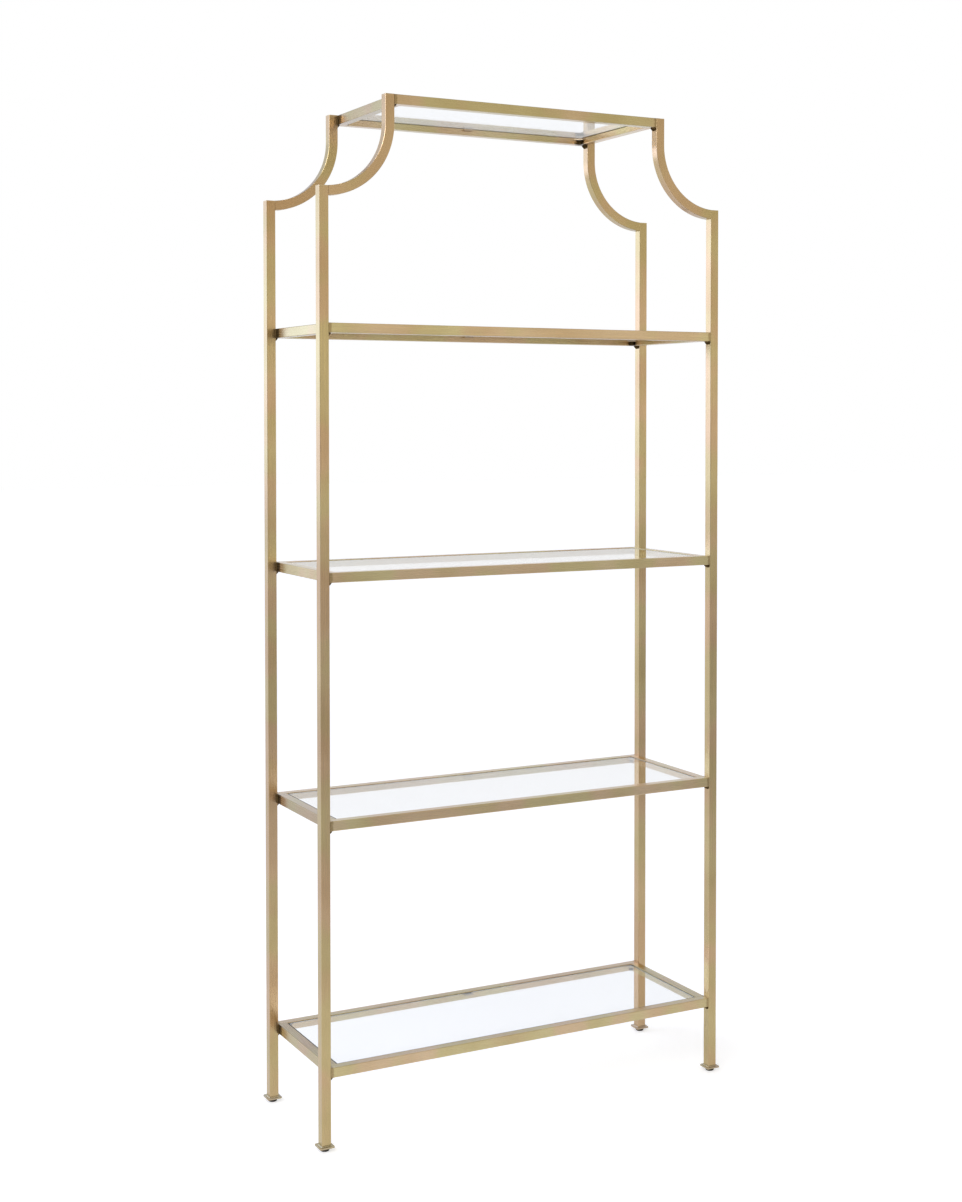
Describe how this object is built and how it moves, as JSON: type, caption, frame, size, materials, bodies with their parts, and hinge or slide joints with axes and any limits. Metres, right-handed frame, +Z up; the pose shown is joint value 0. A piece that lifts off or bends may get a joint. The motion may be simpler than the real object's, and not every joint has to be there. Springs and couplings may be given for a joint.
{
  "type": "etagere",
  "caption": "Open etagere of gold square tube with glass shelves and a narrower crown shelf carried on concave quarter-round shoulders.",
  "frame": {"origin": "on the floor under the middle of the etagere", "axes": "+Z up, +X to the right seen from the front, -Y towards the front"},
  "size_m": [0.911, 0.309, 2.005],
  "materials": {
    "gold_tube": "satin gold lacquer on square steel tube",
    "gold_plate": "satin gold lacquer on flat steel",
    "gold_weld": "gold lacquer over a dark, unground weld",
    "zinc_steel": "bright zinc plate",
    "black_plastic": "moulded matt plastic",
    "clear_glass": "clear tempered glass with ground edges",
    "clear_bumper": "clear soft polyurethane"
  },
  "bodies": {
    "frame": {"crown_back_rail": "gold_tube", "crown_front_rail": "gold_tube", "crown_ledges": "gold_plate", "crown_left_rail": "gold_tube", "crown_right_rail": "gold_tube", "foot_nuts": "zinc_steel", "foot_plate_back_left": "gold_plate", "foot_plate_back_right": "gold_plate", "foot_plate_front_left": "gold_plate", "foot_plate_front_right": "gold_plate", "glass_bumpers": "clear_bumper", "post_back_left": "gold_tube", "post_back_right": "gold_tube", "post_front_left": "gold_tube", "post_front_right": "gold_tube", "rail_welds": "gold_weld", "shelf_1_back_rail": "gold_tube", "shelf_1_front_rail": "gold_tube", "shelf_1_ledges": "gold_plate", "shelf_1_left_rail": "gold_tube", "shelf_1_right_rail": "gold_tube", "shelf_2_back_rail": "gold_tube", "shelf_2_front_rail": "gold_tube", "shelf_2_ledges": "gold_plate", "shelf_2_left_rail": "gold_tube", "shelf_2_right_rail": "gold_tube", "shelf_3_back_rail": "gold_tube", "shelf_3_front_rail": "gold_tube", "shelf_3_ledges": "gold_plate", "shelf_3_left_rail": "gold_tube", "shelf_3_right_rail": "gold_tube", "shelf_4_back_rail": "gold_tube", "shelf_4_front_rail": "gold_tube", "shelf_4_ledges": "gold_plate", "shelf_4_left_rail": "gold_tube", "shelf_4_right_rail": "gold_tube", "shoulder_back_left": "gold_tube", "shoulder_back_right": "gold_tube", "shoulder_front_left": "gold_tube", "shoulder_front_right": "gold_tube", "tube_end_caps": "gold_tube"},
    "shelf_1_pane": {"shelf_1_glass": "clear_glass"},
    "shelf_2_pane": {"shelf_2_glass": "clear_glass"},
    "shelf_3_pane": {"shelf_3_glass": "clear_glass"},
    "shelf_4_pane": {"shelf_4_glass": "clear_glass"},
    "crown_pane": {"crown_glass": "clear_glass"},
    "leveller_front_left": {"leveller_glide_front_left": "black_plastic", "leveller_stem_front_left": "zinc_steel"},
    "leveller_front_right": {"leveller_glide_front_right": "black_plastic", "leveller_stem_front_right": "zinc_steel"},
    "leveller_back_left": {"leveller_glide_back_left": "black_plastic", "leveller_stem_back_left": "zinc_steel"},
    "leveller_back_right": {"leveller_glide_back_right": "black_plastic", "leveller_stem_back_right": "zinc_steel"}
  },
  "joints": [
    {"name": "shelf_1_pane_lift", "type": "slide", "parent": "frame", "child": "shelf_1_pane", "axis": [0, 0, 1], "range_m": [0, 0.1]},
    {"name": "shelf_2_pane_lift", "type": "slide", "parent": "frame", "child": "shelf_2_pane", "axis": [0, 0, 1], "range_m": [0, 0.1]},
    {"name": "shelf_3_pane_lift", "type": "slide", "parent": "frame", "child": "shelf_3_pane", "axis": [0, 0, 1], "range_m": [0, 0.1]},
    {"name": "shelf_4_pane_lift", "type": "slide", "parent": "frame", "child": "shelf_4_pane", "axis": [0, 0, 1], "range_m": [0, 0.1]},
    {"name": "crown_pane_lift", "type": "slide", "parent": "frame", "child": "crown_pane", "axis": [0, 0, 1], "range_m": [0, 0.1]},
    {"name": "leveller_front_left_turn", "type": "hinge", "parent": "frame", "child": "leveller_front_left", "pos_m": [-0.4405, -0.1395, 0.007], "axis": [0, 0, 1], "range_deg": [0, 1800]},
    {"name": "leveller_front_right_turn", "type": "hinge", "parent": "frame", "child": "leveller_front_right", "pos_m": [0.4405, -0.1395, 0.007], "axis": [0, 0, 1], "range_deg": [0, 1800]},
    {"name": "leveller_back_left_turn", "type": "hinge", "parent": "frame", "child": "leveller_back_left", "pos_m": [-0.4405, 0.1395, 0.007], "axis": [0, 0, 1], "range_deg": [0, 1800]},
    {"name": "leveller_back_right_turn", "type": "hinge", "parent": "frame", "child": "leveller_back_right", "pos_m": [0.4405, 0.1395, 0.007], "axis": [0, 0, 1], "range_deg": [0, 1800]}
  ]
}
